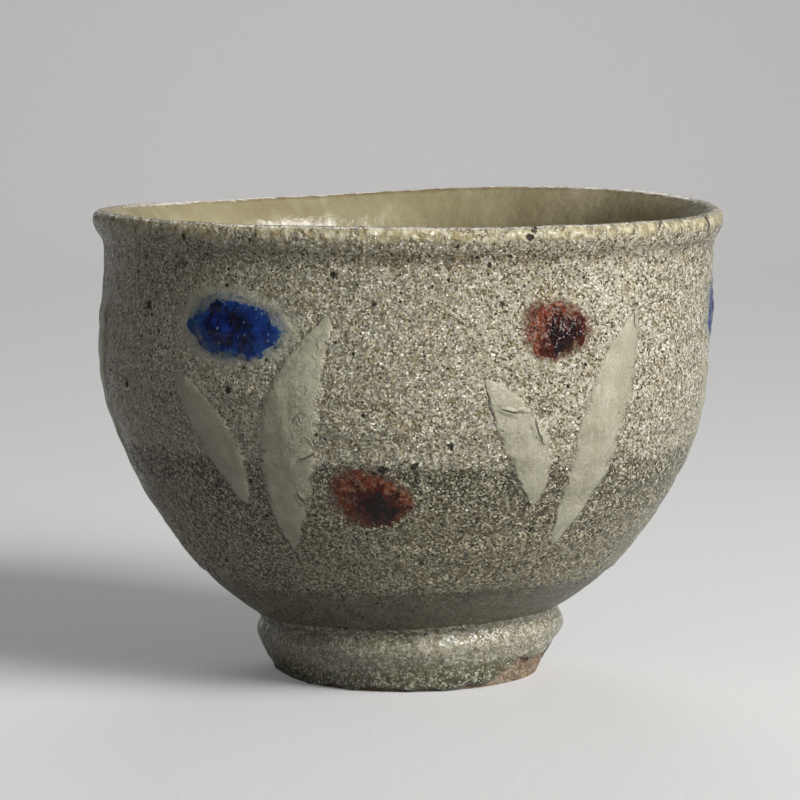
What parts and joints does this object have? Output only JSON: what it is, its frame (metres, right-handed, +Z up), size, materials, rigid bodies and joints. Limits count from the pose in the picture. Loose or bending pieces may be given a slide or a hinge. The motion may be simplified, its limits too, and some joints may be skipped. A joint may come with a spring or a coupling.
{
  "type": "tea bowl",
  "caption": "Footed stoneware tea bowl with an everted lip, sandy glaze dipped paler above than below, and brushed slip leaves with blue and brown dabs.",
  "frame": {"origin": "centre of the bounding box on the plane of the foot's resting face", "axes": "+Z up out of the bowl's mouth, -Y the side the picture shows, +X to that side's right"},
  "size_m": [0.116, 0.1146, 0.0874],
  "materials": {
    "clay": "unglazed warm buff stoneware",
    "inner_glaze": "smooth satin cream glaze",
    "upper_glaze": "sandy beige glaze with glassy glints",
    "lower_glaze": "sandy grey glaze",
    "foot_glaze": "glossy pooled greenish glaze",
    "slip": "smooth pale slip with fine crackle",
    "cobalt": "thick glassy blue",
    "iron": "glossy iron brown"
  },
  "bodies": {
    "root": {"bowl_body": "clay", "foot_ring": "clay", "inner_glaze": "inner_glaze", "upper_glaze": "upper_glaze", "lower_glaze": "lower_glaze", "foot_glaze": "foot_glaze", "leaf_long_1": "slip", "leaf_long_2": "slip", "leaf_long_3": "slip", "leaf_long_4": "slip", "leaf_long_5": "slip", "leaf_long_6": "slip", "leaf_short_1": "slip", "leaf_short_2": "slip", "leaf_short_3": "slip", "leaf_short_4": "slip", "leaf_short_5": "slip", "leaf_short_6": "slip", "cobalt_dab_1": "cobalt", "cobalt_dab_2": "cobalt", "cobalt_dab_3": "cobalt", "iron_dab_1": "iron", "iron_dab_2": "iron", "iron_dab_3": "iron", "iron_dab_4": "iron", "iron_dab_5": "iron", "iron_dab_6": "iron"}
  },
  "joints": []
}
